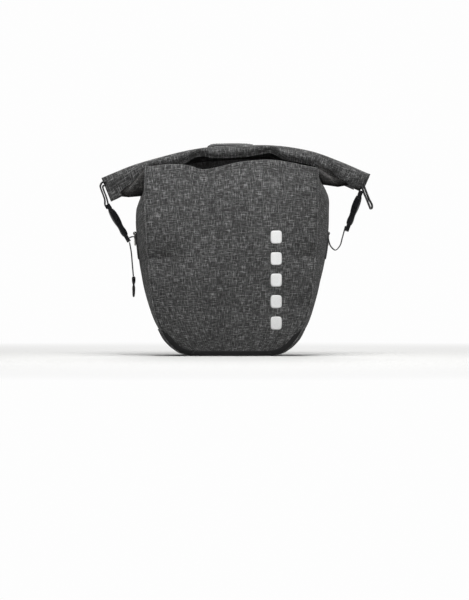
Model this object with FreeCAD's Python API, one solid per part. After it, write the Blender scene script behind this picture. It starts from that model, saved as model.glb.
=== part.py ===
import FreeCAD, Part
import math
import os
from FreeCAD import Placement, Rotation, Vector

# Roll-top saddle bag that hangs beside a bicycle's rear wheel. Millimetres.
# +X points to the front of the bicycle, -Y is the outer face, +Y is the rack side, +Z is up.
# The origin is the centre of the underside, halfway through the bag's depth.

# ---- driving dimensions -------------------------------------------------------------------
SKIN = 2.0                    # coated fabric with its lining
BACK_Y = 72.0                 # outer face of the back panel
BOARD = 3.0                   # stiff plastic boards inside
BOOT_TOP = 46.0               # height to which the rubber boot wraps the corners
BOOT_LIP = 9.0                # width of the boot's lip on the front face
GAP = 0.4                     # room between pieces on different bodies

# Half of the body's outline seen from the front (x, z), from the base past the shoulder.
SIDE_EDGE = [(70, 0), (88, 4), (109, 17), (128, 48), (145, 98), (157, 150), (165, 205),
             (167, 250), (161, 287), (148, 325), (141, 345)]
# Its top edge (x, z), longer than the body is wide.
TOP_EDGE = [(-200, 318), (-75, 330), (0, 332), (75, 330), (200, 318)]
# Front face seen from the side (y, z).
FRONT_FACE = [(-66, -5), (-78, 85), (-82, 170), (-78, 255), (-66, 340)]

# Upper edge of the rolled mouth (x, z): it droops to both ends.
ROLL_EDGE = [(-227, 305), (-131, 338), (-54, 357), (6, 365), (100, 359), (147, 349), (188, 333),
             (236, 312)]
ROLL_HEIGHT = 37.0
ROLL_DEPTH = 30.0
STIFFENER_HEIGHT = 22.0
STIFFENER_DEPTH = 3.0

WEBBING = 25.0                # width of all the straps
WEB = 1.6                     # their thickness
RING_X = 170.0                # D ring hinge, out from the centre
RING_Y = 44.0
RING_Z = 214.0

RAIL_HALF = 130.0             # half length of the hook rail
RAIL_Z = 311.0                # its centre height
RAIL_HEIGHT = 22.0
RAIL_DEPTH = 8.0
RAIL_WALL = 2.0
RAIL_SLOT = 11.0
RAIL_BOLT_X = (-124.0, 0.0, 124.0)
BOLT_R = 2.5

HOOK_X = 95.0                 # rest place of each hook's centre
HOOK_WIDTH = 36.0
TUBE_Y = 94.5                 # axis of the rack tube in the hooks
TUBE_Z = 288.0
TUBE_R = 5.1                  # bore of the hook liner, for 10 mm rack tube
LINER_R = 7.9
HOOK_R = 13.0
LATCH_Y = 90.0                # latch pivot
LATCH_Z = 267.0
LATCH_HUB = 4.0
PIN_R = 1.5

LOWER_Z = 110.0               # lower rail
LOWER_HALF = 80.0
LOWER_HEIGHT = 20.0
FOOT_REACH = 34.0             # from the anchor's screw to the axis of the rack stay
FOOT_R = 5.2                  # bore of the foot, for a 10 mm stay

HANDLE_X = 48.0               # handle legs
HANDLE_Y = 86.0
HANDLE_Z = 328.0
HANDLE_TOP = 370.0

BUCKLES = {                   # upper end of each buckle (x, z) and its lean from upright
    "left": {"side": -1, "top": (-215.0, 261.0), "lean": -30.0},
    "right": {"side": 1, "top": (225.5, 284.5), "lean": 20.0},
}
SOCKET_LOW = -42.0            # where the socket ends, measured down from the buckle's upper end
PLUG_LOW = -72.0              # where the plug ends
FOLD_LOW = {"left": 269.0, "right": 286.0}     # lower edge of the folded fabric beside the roll


# ---- helpers ------------------------------------------------------------------------------
def box(x0, x1, y0, y1, z0, z1):
    return Part.makeBox(x1 - x0, y1 - y0, z1 - z0, Vector(x0, y0, z0))


def centred_box(centre, size):
    """A box from its centre and its full sizes."""
    low = [c - s / 2 for c, s in zip(centre, size)]
    return Part.makeBox(*size, Vector(*low))


def cylinder(base, axis, radius, length):
    return Part.makeCylinder(radius, length, Vector(*base), Vector(*axis))


def fuse(shapes):
    whole = shapes[0]
    for shape in shapes[1:]:
        whole = whole.fuse(shape)
    return whole.removeSplitter()


def xz(point):
    return Vector(point[0], 0, point[1])


def curve(points):
    """A smooth curve through points in the XZ plane."""
    spline = Part.BSplineCurve()
    spline.interpolate([xz(p) for p in points])
    return spline


def moved_points(points, distance):
    """Points moved square to the smooth curve through them, to the left of its direction."""
    path = curve(points)
    moved = []
    for point in points:
        t = path.parameter(xz(point))
        along = path.tangent(t)[0]
        at = path.value(t)
        moved.append((at.x - along.z * distance, at.z + along.x * distance))
    return moved


def slab(wire, y0, y1):
    """A closed wire in the XZ plane, extruded from y0 to y1."""
    face = Part.Face(wire)
    face.translate(Vector(0, y0, 0))
    return face.extrude(Vector(0, y1 - y0, 0))


def ribbon(points, thickness, y0, y1, samples=13):
    """A band of even thickness centred on a smooth path in the XZ plane, extruded in Y."""
    path = curve(points)
    first, last = path.FirstParameter, path.LastParameter
    places = [path.value(first + (last - first) * i / (samples - 1)) for i in range(samples)]
    places = [(p.x, p.z) for p in places]
    upper = curve(moved_points(places, thickness / 2))
    lower = curve(moved_points(places, -thickness / 2))
    caps = [Part.makeLine(upper.value(t), lower.value(u)) for t, u in
            ((upper.FirstParameter, lower.FirstParameter), (upper.LastParameter, lower.LastParameter))]
    wire = Part.Wire(Part.__sortEdges__([upper.toShape(), caps[1], lower.toShape(), caps[0]]))
    return slab(wire, y0, y1)


def polygon_x(points, x0, x1):
    """A polygon in the YZ plane, extruded from x0 to x1."""
    corners = [Vector(x0, y, z) for y, z in points]
    face = Part.Face(Part.makePolygon(corners + corners[:1]))
    return face.extrude(Vector(x1 - x0, 0, 0))


def rounded(shape, radius, keep):
    """Rounds the edges that keep(edge) picks."""
    return shape.makeFillet(radius, [e for e in shape.Edges if keep(e)])


def along_axis(edge, axis):
    """True for a straight edge that runs along the axis with this index."""
    if not isinstance(edge.Curve, Part.Line):
        return False
    return abs(edge.Curve.Direction[axis]) > 0.999


def mirror_x(shape):
    return shape.mirror(Vector(0, 0, 0), Vector(1, 0, 0))


def save(name, shape):
    solids = shape.Solids
    if not solids or not all(s.isValid() for s in solids):
        raise ValueError(name + " is not a valid solid")
    result = solids[0] if len(solids) == 1 else Part.makeCompound(solids)
    result.exportStep("parts/" + name + ".step")
    print("%-26s %d solid(s) %9.1f mm3" % (name, len(solids), result.Volume))


# ---- bag body -----------------------------------------------------------------------------
def outline_slab(inset, y0=-100.0, y1=BACK_Y):
    """The body seen from the front, moved inwards by inset and extruded from y0 to y1."""
    side = curve(moved_points(SIDE_EDGE, inset))
    foot, head = side.value(side.FirstParameter), side.value(side.LastParameter)
    right = side.toShape()
    base = Part.makeLine(Vector(-foot.x, 0, foot.z), foot)
    lid = Part.makeLine(head, Vector(-head.x, 0, head.z))
    body = slab(Part.Wire(Part.__sortEdges__([base, right, lid, mirror_x(right)])), y0, y1)

    top = curve([(x, z - inset) for x, z in TOP_EDGE])
    ends = [top.value(top.FirstParameter), top.value(top.LastParameter)]
    low = [Vector(end.x, 0, -20) for end in ends]
    lines = [Part.makeLine(ends[1], low[1]), Part.makeLine(low[1], low[0]), Part.makeLine(low[0], ends[0])]
    return body.common(slab(Part.Wire([top.toShape()] + lines), y0, y1))


def depth_block(inset=0.0, back=BACK_Y):
    """The body seen from the side, extruded wide: front face moved back by inset, flat back."""
    front = Part.BSplineCurve()
    front.interpolate([Vector(-220, y + inset, z) for y, z in FRONT_FACE])
    (y0, z0), (y1, z1) = FRONT_FACE[0], FRONT_FACE[-1]
    corners = [Vector(-220, y1 + inset, z1), Vector(-220, back, z1), Vector(-220, back, z0),
               Vector(-220, y0 + inset, z0)]
    lines = [Part.makeLine(a, b) for a, b in zip(corners, corners[1:])]
    face = Part.Face(Part.Wire([front.toShape()] + lines))
    return face.extrude(Vector(440, 0, 0))


def gusset_notch(side, fold_low):
    """The V at the top of a gusset where the fabric folds out towards the roll's end."""
    tip = fold_low - 7
    points = [(-11, tip), (11, tip), (46, 345), (-46, 345)]
    return polygon_x(points, 120 * side, 200 * side)


def bag_body():
    outer = outline_slab(0)
    front_layer = outer.common(depth_block(0).cut(depth_block(SKIN)))
    walls = outer.cut(outline_slab(SKIN)).common(depth_block(SKIN, BACK_Y - SKIN))
    walls = walls.cut(box(-146, 146, -100, 100, 300, 350))
    low = box(-220, 220, -100, 100, -10, BOOT_TOP)

    lip = front_layer.cut(outline_slab(BOOT_LIP)).common(low)
    boot = fuse([walls.common(low), lip])
    save("bottom_boot", boot)
    save("front_panel", front_layer.cut(lip))

    for name, mark in BUCKLES.items():
        side = mark["side"]
        half = box(min(0, 220 * side), max(0, 220 * side), -100, 100, BOOT_TOP, 350)
        save(name + "_gusset", walls.common(half).cut(gusset_notch(side, FOLD_LOW[name])))

    bolts = bolt_holes(BOLT_R + 0.1)
    back = outline_slab(0, BACK_Y - SKIN, BACK_Y)
    save("back_panel", back.cut(bolts))

    plate = outline_slab(7, BACK_Y - SKIN - BOARD, BACK_Y - SKIN)
    plate = plate.common(box(-220, 220, 0, 100, 8, 318))
    save("inner_backplate", plate.cut(bolts))

    board = centred_box((0, 2, SKIN + BOARD / 2), (140, 124, BOARD))
    save("base_board", rounded(board, 12, lambda e: along_axis(e, 2)))


def bolt_holes(radius):
    """The through holes of both rails, from the inside to the back."""
    places = [(x, RAIL_Z) for x in RAIL_BOLT_X] + [(x, LOWER_Z) for x in lower_bolt_x()]
    holes = [cylinder((x, BACK_Y - 12, z), (0, 1, 0), radius, 20) for x, z in places]
    return Part.makeCompound(holes)


def reflective_marks():
    """A column of plain pill-shaped marks on the front face."""
    count, width, height, pitch = 5, 19.0, 22.0, 37.0
    layer = depth_block(-0.6).cut(depth_block(0))
    marks = []
    for i in range(count):
        pill = centred_box((77, -75, 57 + i * pitch), (width, 40, height))
        pill = rounded(pill, 7, lambda e: along_axis(e, 1))
        marks.append(layer.common(pill))
    save("reflective_marks", Part.makeCompound(marks))


# ---- rolled mouth -------------------------------------------------------------------------
def rolled_mouth():
    middle = moved_points(ROLL_EDGE, -ROLL_HEIGHT / 2)
    half = ROLL_DEPTH / 2
    roll = ribbon(middle, ROLL_HEIGHT, -half, half)
    long_edges = [e for e in roll.Edges if e.Length > 300]
    roll = roll.makeFillet(11, long_edges)
    taper = [(212, 282.5), (250, 306.8), (260, 250), (212, 250)]
    roll = roll.cut(slab(Part.makePolygon([xz(p) for p in taper + taper[:1]]), -20, 20))
    inside = box(-212, 214, -20, 20, 200, 400)
    slot = ribbon(middle, STIFFENER_HEIGHT + 1, -STIFFENER_DEPTH / 2 - 0.5, STIFFENER_DEPTH / 2 + 0.5)
    save("rolled_top", roll.cut(slot.common(inside)))

    stiffener = ribbon(middle, STIFFENER_HEIGHT, -STIFFENER_DEPTH / 2, STIFFENER_DEPTH / 2)
    save("mouth_stiffener", stiffener.common(box(-211.5, 213.5, -20, 20, 200, 400)))

    low = FOLD_LOW
    fold_points = {
        "left": [(-150, 322), (-156, low["left"] + 9), (-212, low["left"]), (-214, 300)],
        "right": [(150, 330), (160, low["right"] + 12), (217, low["right"]), (222, 310)],
    }
    for name, points in fold_points.items():
        wire = Part.makePolygon([xz(p) for p in points + points[:1]])
        fold = slab(wire, -6, 6).cut(roll)
        save(name + "_side_fold", largest(fold))

    inside = outline_slab(SKIN).common(depth_block(SKIN, BACK_Y - SKIN))
    sheets = []
    for near, far in ((-72, -half - 1), (72, half + 1)):
        strip = polygon_x([(near, 319), (far, 328), (far, 330), (near, 321)], -143, 143)
        sheets.append(largest(strip.common(inside)))
    save("collar", Part.makeCompound(sheets))


def largest(shape):
    return max(shape.Solids, key=lambda s: s.Volume)


# ---- side straps and buckles --------------------------------------------------------------
def buckle_socket():
    """The upper half: a bar for the strap, and a flat pocket with a window in each side."""
    frame = centred_box((0, 0, -5), (7, 32, 16))
    pocket = box(-4.8, 4.8, -14.5, 14.5, SOCKET_LOW, -12)
    frame = rounded(frame, 2, lambda e: along_axis(e, 0))
    pocket = rounded(pocket, 2, lambda e: along_axis(e, 2))
    shape = fuse([frame, pocket])
    shape = shape.cut(box(-6, 6, -13, 13, -7, -1.5))
    shape = shape.cut(box(-3.1, 3.1, -12.9, 12.9, SOCKET_LOW - 1, -15))
    return shape.cut(box(-2.6, 2.6, -20, 20, -37, -27))


def buckle_plug():
    """The lower half: two side prongs and a guide, a shoulder, and a two-bar strap adjuster."""
    top = SOCKET_LOW - GAP
    shoulder = rounded(box(-4.8, 4.8, -14.5, 14.5, top - 13, top), 2, lambda e: along_axis(e, 2))
    ladder = rounded(box(-3.2, 3.2, -16, 16, PLUG_LOW, top - 10), 2, lambda e: along_axis(e, 0))
    guide = box(-2.7, 2.7, -3, 3, top, -27)
    pieces = [shoulder, ladder, guide]
    for side in (-1, 1):
        profile = [(7.4, top), (12.5, top), (11.2, -39), (12.6, -36), (12.6, -30), (9.4, -27), (8, -27),
                   (8, -36)]
        prong = [(side * y, z) for y, z in profile]
        pieces.append(polygon_x(prong, -2.4, 2.4))
    shape = fuse(pieces)
    for slot_top in (-58.0, -65.5):
        shape = shape.cut(box(-6, 6, -13, 13, slot_top - 3.4, slot_top))
    return shape


def placed(shape, mark):
    x, z = mark["top"]
    shape = shape.copy()
    shape.Placement = Placement(Vector(x, 0, z), Rotation(Vector(0, 1, 0), mark["lean"]))
    return shape


def on_buckle(mark, across, up):
    """A point (x, z) from buckle coordinates: across its thickness, and up its length."""
    angle = math.radians(mark["lean"])
    x, z = mark["top"]
    return (x + across * math.cos(angle) + up * math.sin(angle),
            z - across * math.sin(angle) + up * math.cos(angle))


def side_straps():
    half = WEBBING / 2
    for name, mark in BUCKLES.items():
        side = mark["side"]
        save(name + "_buckle_socket", placed(buckle_socket(), mark))
        save(name + "_buckle_plug", placed(buckle_plug(), mark))
        patch = outline_slab(-1.8, -14, 14).cut(outline_slab(0)).common(
            box(min(120 * side, 200 * side), max(120 * side, 200 * side), -14, 14, 168, 214))
        save(name + "_strap_patch", patch)

    left, right = BUCKLES["left"], BUCKLES["right"]
    beside = -3.5 - WEB / 2 - 0.2
    end_strap = [(-228.2, 303.5), (-227.5, 290), on_buckle(left, beside, 6), on_buckle(left, beside, -3)]
    save("left_upper_strap", ribbon(end_strap, WEB, -half, half))
    tab = [(232.8, 292), (237, 281), (243, 268), (248, 257)]
    save("right_upper_strap", ribbon(tab, WEB * 2, -half, half))

    inner = on_buckle(left, 3.2 + GAP, -67)
    short = [(-167.8, 207), (-173, 207.5), (inner[0], inner[1] + 1)]
    save("left_side_strap", ribbon(short, WEB, -half, half))
    start = on_buckle(right, -3.2 - GAP - 1.2, -64)
    slack = [start, (193.5, 205), (190, 190), (182, 182), (174, 189), (169.4, 205)]
    save("right_side_strap", ribbon(slack, WEB, -half, half, 25))

    outer = on_buckle(left, 0, PLUG_LOW - GAP - 1)
    hang = [outer, (-175.5, 182), (-173.5, 160), (-171.5, 139)]
    save("left_strap_tail", ribbon(hang, WEB, -half, half))
    clip = centred_box((-171, 0, 120), (5, WEBBING + 4, 37))
    clip = rounded(clip, 2, lambda e: along_axis(e, 1))
    save("left_tail_clip", clip)


def d_rings():
    """Rings for a shoulder strap, hanging on the rear part of each gusset."""
    y, z = RING_Y, RING_Z
    for name, mark in BUCKLES.items():
        side = mark["side"]
        pin_x = RING_X * side
        tab = outline_slab(-1.5, y - 9, y + 9).cut(outline_slab(0)).common(
            box(min(120 * side, 200 * side), max(120 * side, 200 * side), y - 9, y + 9, z - 2, z + 22))
        lug = cylinder((pin_x, y - 9, z), (0, 1, 0), 3.4, 18)
        eye = cylinder((pin_x, y - 10, z), (0, 1, 0), 1.95, 20)
        save(name + "_ring_tab", fuse([tab, lug.cut(outline_slab(0))]).cut(eye))
        radius = 1.75
        straight = cylinder((pin_x, y - 12, z), (0, 1, 0), radius, 24)
        legs = [cylinder((pin_x, y + s * 12, z), (0, 0, -1), radius, 8) for s in (-1, 1)]
        corners = [Part.makeSphere(radius, Vector(pin_x, y + s * 12, z)) for s in (-1, 1)]
        bow = Part.makeTorus(12, radius, Vector(pin_x, y, z - 8), Vector(1, 0, 0))
        bow = bow.common(box(-200, 200, y - 20, y + 20, z - 30, z - 8))
        save(name + "_d_ring", fuse([straight] + legs + corners + [bow]))


# ---- rails, hooks, latches ----------------------------------------------------------------
def channel(half, centre_z, height, slot):
    """A C-shaped aluminium rail, open at the back, with return lips."""
    y0 = BACK_Y
    body = box(-half, half, y0, y0 + RAIL_DEPTH, centre_z - height / 2, centre_z + height / 2)
    body = rounded(body, 1.2, lambda e: along_axis(e, 0) and e.BoundBox.YMin > y0 + 1)
    hollow = box(-half - 1, half + 1, y0 + RAIL_WALL, y0 + RAIL_DEPTH - RAIL_WALL,
                 centre_z - height / 2 + RAIL_WALL, centre_z + height / 2 - RAIL_WALL)
    mouth = box(-half - 1, half + 1, y0 + RAIL_WALL, y0 + RAIL_DEPTH + 1,
                centre_z - slot / 2, centre_z + slot / 2)
    return body.cut(hollow).cut(mouth)


def lower_bolt_x():
    return (-LOWER_HALF + 6, LOWER_HALF - 6)


def rail_bolts(places, name):
    """Low pan-head bolts from the channel, through the back panel, into square nuts inside."""
    bolts = []
    for x, z in places:
        head = cylinder((x, BACK_Y + RAIL_WALL, z), (0, 1, 0), 4.4, 2.2)
        head = head.cut(cylinder((x, BACK_Y + RAIL_WALL + 1, z), (0, 1, 0), 1.6, 3))
        shank = cylinder((x, BACK_Y - 9.5, z), (0, 1, 0), BOLT_R, 9.5 + RAIL_WALL)
        nut = centred_box((x, BACK_Y - SKIN - BOARD - 1.6, z), (9, 3.2, 9))
        bolts.append(fuse([head, shank, nut]))
    save(name, Part.makeCompound(bolts))


def rails():
    holes = bolt_holes(BOLT_R + 0.1)
    save("hook_rail", channel(RAIL_HALF, RAIL_Z, RAIL_HEIGHT, RAIL_SLOT).cut(holes))
    save("lower_rail", channel(LOWER_HALF, LOWER_Z, LOWER_HEIGHT, 9.0).cut(holes))
    rail_bolts([(x, RAIL_Z) for x in RAIL_BOLT_X], "hook_rail_bolts")
    rail_bolts([(x, LOWER_Z) for x in lower_bolt_x()], "lower_rail_bolts")
    caps = []
    for half, z, height in ((RAIL_HALF, RAIL_Z, RAIL_HEIGHT), (LOWER_HALF, LOWER_Z, LOWER_HEIGHT)):
        for side in (-1, 1):
            cap = centred_box((side * (half + 1.5), BACK_Y + RAIL_DEPTH / 2, z), (3, RAIL_DEPTH, height))
            caps.append(rounded(cap, 1.0, lambda e: along_axis(e, 0)))
    save("rail_end_caps", Part.makeCompound(caps))


def hook_body(x):
    """Moulded hook: a plate on the rail, and an arm over the rack tube, open downwards."""
    x0, x1 = x - HOOK_WIDTH / 2, x + HOOK_WIDTH / 2
    face_y = BACK_Y + RAIL_DEPTH + GAP
    plate = box(x0, x1, face_y, face_y + 5, 256, 324)
    plate = rounded(plate, 3, lambda e: along_axis(e, 1))
    ring = cylinder((x0, TUBE_Y, TUBE_Z), (1, 0, 0), HOOK_R, HOOK_WIDTH)
    bore = cylinder((x0 - 1, TUBE_Y, TUBE_Z), (1, 0, 0), LINER_R + 0.05, HOOK_WIDTH + 2)
    lip = box(x0, x1, TUBE_Y + LINER_R + 0.4, TUBE_Y + HOOK_R, TUBE_Z - 9, TUBE_Z)
    mouth = box(x0 - 1, x1 + 1, TUBE_Y - LINER_R - 0.05, TUBE_Y + LINER_R + 0.4,
                TUBE_Z - 30, TUBE_Z)
    brace = [(face_y + 4, 322), (TUBE_Y - 1, TUBE_Z + HOOK_R - 0.5), (face_y + 4, TUBE_Z + 4)]
    arch = ring.cut(box(x0 - 1, x1 + 1, face_y + 5, 130, 260, TUBE_Z))
    shape = fuse([plate, arch, lip, polygon_x(brace, x0, x1)])
    shape = shape.cut(bore).cut(mouth)
    for side in (-1, 1):
        ear_x = x + side * (HOOK_WIDTH / 2 - 2.5)
        ear = box(ear_x - 2.5, ear_x + 2.5, face_y + 4, LATCH_Y, LATCH_Z - LATCH_HUB, LATCH_Z + LATCH_HUB)
        eye = cylinder((ear_x - 2.5, LATCH_Y, LATCH_Z), (1, 0, 0), LATCH_HUB, 5)
        shape = shape.fuse(fuse([ear, eye]))
    shape = shape.removeSplitter()
    shape = shape.cut(cylinder((x0 - 1, LATCH_Y, LATCH_Z), (1, 0, 0), PIN_R, HOOK_WIDTH + 2))
    shape = shape.cut(cylinder((x, face_y + 5, RAIL_Z), (0, 1, 0), 5, 20))
    return shape.cut(cylinder((x, face_y - 1, RAIL_Z), (0, 1, 0), 2.1, 8))


def hook_liner(x):
    """Soft liner that grips the tube: the upper part of a ring."""
    x0 = x - HOOK_WIDTH / 2
    ring = cylinder((x0, TUBE_Y, TUBE_Z), (1, 0, 0), LINER_R, HOOK_WIDTH)
    ring = ring.cut(cylinder((x0 - 1, TUBE_Y, TUBE_Z), (1, 0, 0), TUBE_R, HOOK_WIDTH + 2))
    return ring.cut(box(x0 - 1, x0 + HOOK_WIDTH + 1, 60, 130, TUBE_Z - 20, TUBE_Z - 1.5))


def slide_nut(x):
    """T-shaped nut that runs in the rail and carries the hook's plate."""
    wide_depth = RAIL_DEPTH - 2 * RAIL_WALL - 2 * GAP
    wide = centred_box((x, BACK_Y + RAIL_DEPTH / 2, RAIL_Z), (18, wide_depth, 17))
    neck = box(x - 9, x + 9, BACK_Y + RAIL_DEPTH / 2, BACK_Y + RAIL_DEPTH + GAP, RAIL_Z - 5, RAIL_Z + 5)
    return fuse([wide, neck]).cut(cylinder((x, BACK_Y, RAIL_Z), (0, 1, 0), 2.0, 20))


def lock_screw(x):
    """Pan-head screw that clamps the hook on its nut."""
    face_y = BACK_Y + RAIL_DEPTH + GAP + 5
    head = cylinder((x, face_y, RAIL_Z), (0, 1, 0), 4.5, 2.4)
    head = head.cut(cylinder((x, face_y + 1, RAIL_Z), (0, 1, 0), 1.6, 3))
    return fuse([head, cylinder((x, BACK_Y + 3, RAIL_Z), (0, 1, 0), 1.98, face_y - BACK_Y - 3)])


def latch(x):
    """Spring-loaded finger that closes the hook's mouth under the tube."""
    half = HOOK_WIDTH / 2 - 5 - GAP
    reach = TUBE_Y + HOOK_R
    profile = [(LATCH_Y - 1, LATCH_Z), (LATCH_Y + 1, LATCH_Z - 3.8), (reach, LATCH_Z + 3),
               (reach + 8, LATCH_Z - 1), (reach + 9, LATCH_Z + 2), (reach + 1, LATCH_Z + 11),
               (LATCH_Y + 5, LATCH_Z + 10)]
    body = polygon_x(profile, x - half, x + half)
    body = body.fuse(cylinder((x - half, LATCH_Y, LATCH_Z), (1, 0, 0), LATCH_HUB, 2 * half)).removeSplitter()
    body = body.cut(cylinder((x - half - 1, LATCH_Y, LATCH_Z), (1, 0, 0), PIN_R + 0.05, 2 * half + 2))
    return body.cut(box(x - 4.5, x + 4.5, LATCH_Y - 8, LATCH_Y + 4.4, LATCH_Z - 8, LATCH_Z + 12))


def latch_spring(x):
    """Torsion spring round the latch pin, with one leg on the hook's plate."""
    wire, coil, turns, pitch = 0.45, 2.7, 5, 1.35
    helix = Part.makeHelix(pitch, pitch * turns, coil)
    section = Part.Wire([Part.makeCircle(wire, Vector(coil, 0, 0), Vector(0, 1, 0))])
    body = Part.Wire(helix).makePipeShell([section], True, True)
    body.Placement = Placement(Vector(x - pitch * turns / 2, LATCH_Y, LATCH_Z), Rotation(Vector(0, 1, 0), 90))
    return body


def hooks():
    for name, mark in BUCKLES.items():
        x = mark["side"] * HOOK_X
        save(name + "_hook", hook_body(x))
        save(name + "_hook_liner", hook_liner(x))
        save(name + "_slide_nut", slide_nut(x))
        save(name + "_hook_screw", lock_screw(x))
        save(name + "_latch", latch(x))
        pin = cylinder((x - HOOK_WIDTH / 2, LATCH_Y, LATCH_Z), (1, 0, 0), PIN_R - 0.02, HOOK_WIDTH)
        save(name + "_latch_pin", pin)
        save(name + "_latch_spring", latch_spring(x))


def lower_anchor():
    """Foot that catches the rack's stay: it slides on the lower rail and turns on its screw."""
    y0 = BACK_Y + RAIL_DEPTH
    nut_depth = RAIL_DEPTH - 2 * RAIL_WALL - 2 * GAP
    nut = centred_box((0, BACK_Y + RAIL_DEPTH / 2, LOWER_Z), (16, nut_depth, 15))
    neck = box(-8, 8, BACK_Y + RAIL_DEPTH / 2, y0 + GAP, LOWER_Z - 4, LOWER_Z + 4)
    washer = cylinder((0, y0 + GAP, LOWER_Z), (0, 1, 0), 10, 2)
    save("anchor_slider", fuse([nut, neck, washer]).cut(cylinder((0, BACK_Y, LOWER_Z), (0, 1, 0), 2.5, 20)))

    foot_y = y0 + GAP + 2 + GAP
    screw = cylinder((0, BACK_Y + 3, LOWER_Z), (0, 1, 0), 2.48, foot_y + 5 + GAP - BACK_Y - 3)
    head = cylinder((0, foot_y + 5 + GAP, LOWER_Z), (0, 1, 0), 5, 3)
    head = head.cut(cylinder((0, foot_y + 5 + GAP + 1.5, LOWER_Z), (0, 1, 0), 2, 3))
    save("anchor_screw", fuse([screw, head]))

    ring_x, ring_y = FOOT_REACH, foot_y + 8.6
    disc = cylinder((0, foot_y, LOWER_Z), (0, 1, 0), 10, 5)
    arm = box(0, ring_x, foot_y, foot_y + 5, LOWER_Z - 10, LOWER_Z + 10)
    ring = cylinder((ring_x, ring_y, LOWER_Z - 10), (0, 0, 1), FOOT_R + 3.4, 20)
    foot = fuse([disc, arm, ring])
    foot = foot.cut(cylinder((ring_x, ring_y, LOWER_Z - 11), (0, 0, 1), FOOT_R, 22))
    mouth = box(ring_x + 1.5, ring_x + 20, ring_y - FOOT_R + 0.6, ring_y + 20, LOWER_Z - 11, LOWER_Z + 11)
    foot = foot.cut(mouth)
    foot = foot.cut(cylinder((0, foot_y - 1, LOWER_Z), (0, 1, 0), 2.55, 8))
    save("anchor_foot", foot)


def carry_handle():
    """A low stiffened webbing arch behind the roll, on two pins above the rail."""
    pieces = [handle_arch(0).cut(handle_arch(4))]
    for side in (-1, 1):
        x0 = side * HANDLE_X - (4 if side > 0 else 0)
        pieces.append(cylinder((x0, HANDLE_Y, HANDLE_Z), (1, 0, 0), 6, 4))
    shape = fuse(pieces)
    save("carry_handle", shape.cut(cylinder((-60, HANDLE_Y, HANDLE_Z), (1, 0, 0), 2.1, 120)))

    brackets = []
    for side in (-1, 1):
        inner_x = side * (HANDLE_X - 4 - GAP)
        block = centred_box((inner_x - side * 4, HANDLE_Y - 5, HANDLE_Z - 2), (8, 18, 11.9))
        block = block.common(box(-60, 60, BACK_Y + 1, HANDLE_Y + 4, RAIL_Z + RAIL_HEIGHT / 2,
                                 HANDLE_Z + 4))
        pin = cylinder((inner_x - side * 4, HANDLE_Y, HANDLE_Z), (side, 0, 0), 2, 9.5)
        brackets.append(fuse([block, pin]))
    save("handle_brackets", Part.makeCompound(brackets))


def handle_arch(inset):
    """The handle's arch as a solid block; one inside another leaves a band."""
    half, top = HANDLE_X - inset, HANDLE_TOP - inset
    block = box(-half, half, HANDLE_Y - 10, HANDLE_Y + 10, HANDLE_Z - 20 * (inset > 0), top)
    return rounded(block, 14 - inset, lambda e: along_axis(e, 1) and e.BoundBox.ZMin > top - 1)


# ---- everything ---------------------------------------------------------------------------
def main():
    os.makedirs("parts", exist_ok=True)
    bag_body()
    reflective_marks()
    rolled_mouth()
    side_straps()
    d_rings()
    rails()
    hooks()
    lower_anchor()
    carry_handle()


main()
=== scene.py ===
import math

import bmesh
import bpy
import numpy as np
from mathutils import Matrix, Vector, noise
from mathutils.bvhtree import BVHTree


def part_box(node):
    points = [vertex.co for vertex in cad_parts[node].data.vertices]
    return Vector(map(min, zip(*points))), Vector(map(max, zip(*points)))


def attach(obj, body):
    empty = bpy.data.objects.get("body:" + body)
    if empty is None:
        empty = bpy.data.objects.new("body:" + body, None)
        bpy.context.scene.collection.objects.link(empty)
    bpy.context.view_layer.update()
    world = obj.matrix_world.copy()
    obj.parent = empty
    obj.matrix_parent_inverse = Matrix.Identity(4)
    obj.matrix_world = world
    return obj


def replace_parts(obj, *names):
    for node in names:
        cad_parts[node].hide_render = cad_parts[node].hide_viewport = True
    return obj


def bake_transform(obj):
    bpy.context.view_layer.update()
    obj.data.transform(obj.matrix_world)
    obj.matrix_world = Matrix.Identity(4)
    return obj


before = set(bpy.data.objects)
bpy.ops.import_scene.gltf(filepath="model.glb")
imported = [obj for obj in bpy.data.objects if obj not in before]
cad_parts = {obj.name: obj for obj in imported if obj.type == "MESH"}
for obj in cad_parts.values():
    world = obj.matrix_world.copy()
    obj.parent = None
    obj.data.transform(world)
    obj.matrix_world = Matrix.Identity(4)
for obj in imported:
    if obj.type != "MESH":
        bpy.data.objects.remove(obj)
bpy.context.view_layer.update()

# Roll-top saddle bag. Metres, in the frame of the CAD model: -Y is the outer face, +Z is up.

# ---- driving sizes ----
MM = 0.001
FABRIC = 1.6 * MM                        # coated cloth
BOOT_WALL = 2.2 * MM                     # moulded rubber
WEBBING = 25 * MM
WEB = 1.6 * MM
FOLD_RADIUS = 2.5 * MM                   # at the front panel's top edge
BACK_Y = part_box("back_panel")[1].y
BACK_GAP = 0.3 * MM                      # keeps the back's cloth just inside that
BACK_FOLLOWS = 0.4                       # how much of the front's dips the back's top edge shows
BOOT_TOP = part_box("bottom_boot")[1].z
BOOT_LIP = 9 * MM
BASE_CURVE = 0.045                       # height of the rounded lower corners
PANEL_TOP = 0.326                        # where the flat cloth ends, before its top edge is drawn to shape
SLACK_FROM = 0.235                       # the cloth above this follows the top edge
CORNER = 0.150                           # half width at the mouth's corners

# Half widths by height (z, x): the seam round the front panel, and the gusset that bulges past it.
SEAM_HALF = [(0, 0.068), (0.004, 0.083), (0.012, 0.097), (0.024, 0.109), (0.045, 0.122), (0.097, 0.137),
             (0.157, 0.143), (0.200, 0.1465), (0.250, 0.149), (0.290, 0.150), (0.326, 0.149)]
SIDE_HALF = [(0, 0.070), (0.004, 0.088), (0.010, 0.099), (0.024, 0.115), (0.045, 0.1275), (0.090, 0.144),
             (0.126, 0.153), (0.165, 0.1605), (0.215, 0.165), (0.250, 0.1665)]
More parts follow.
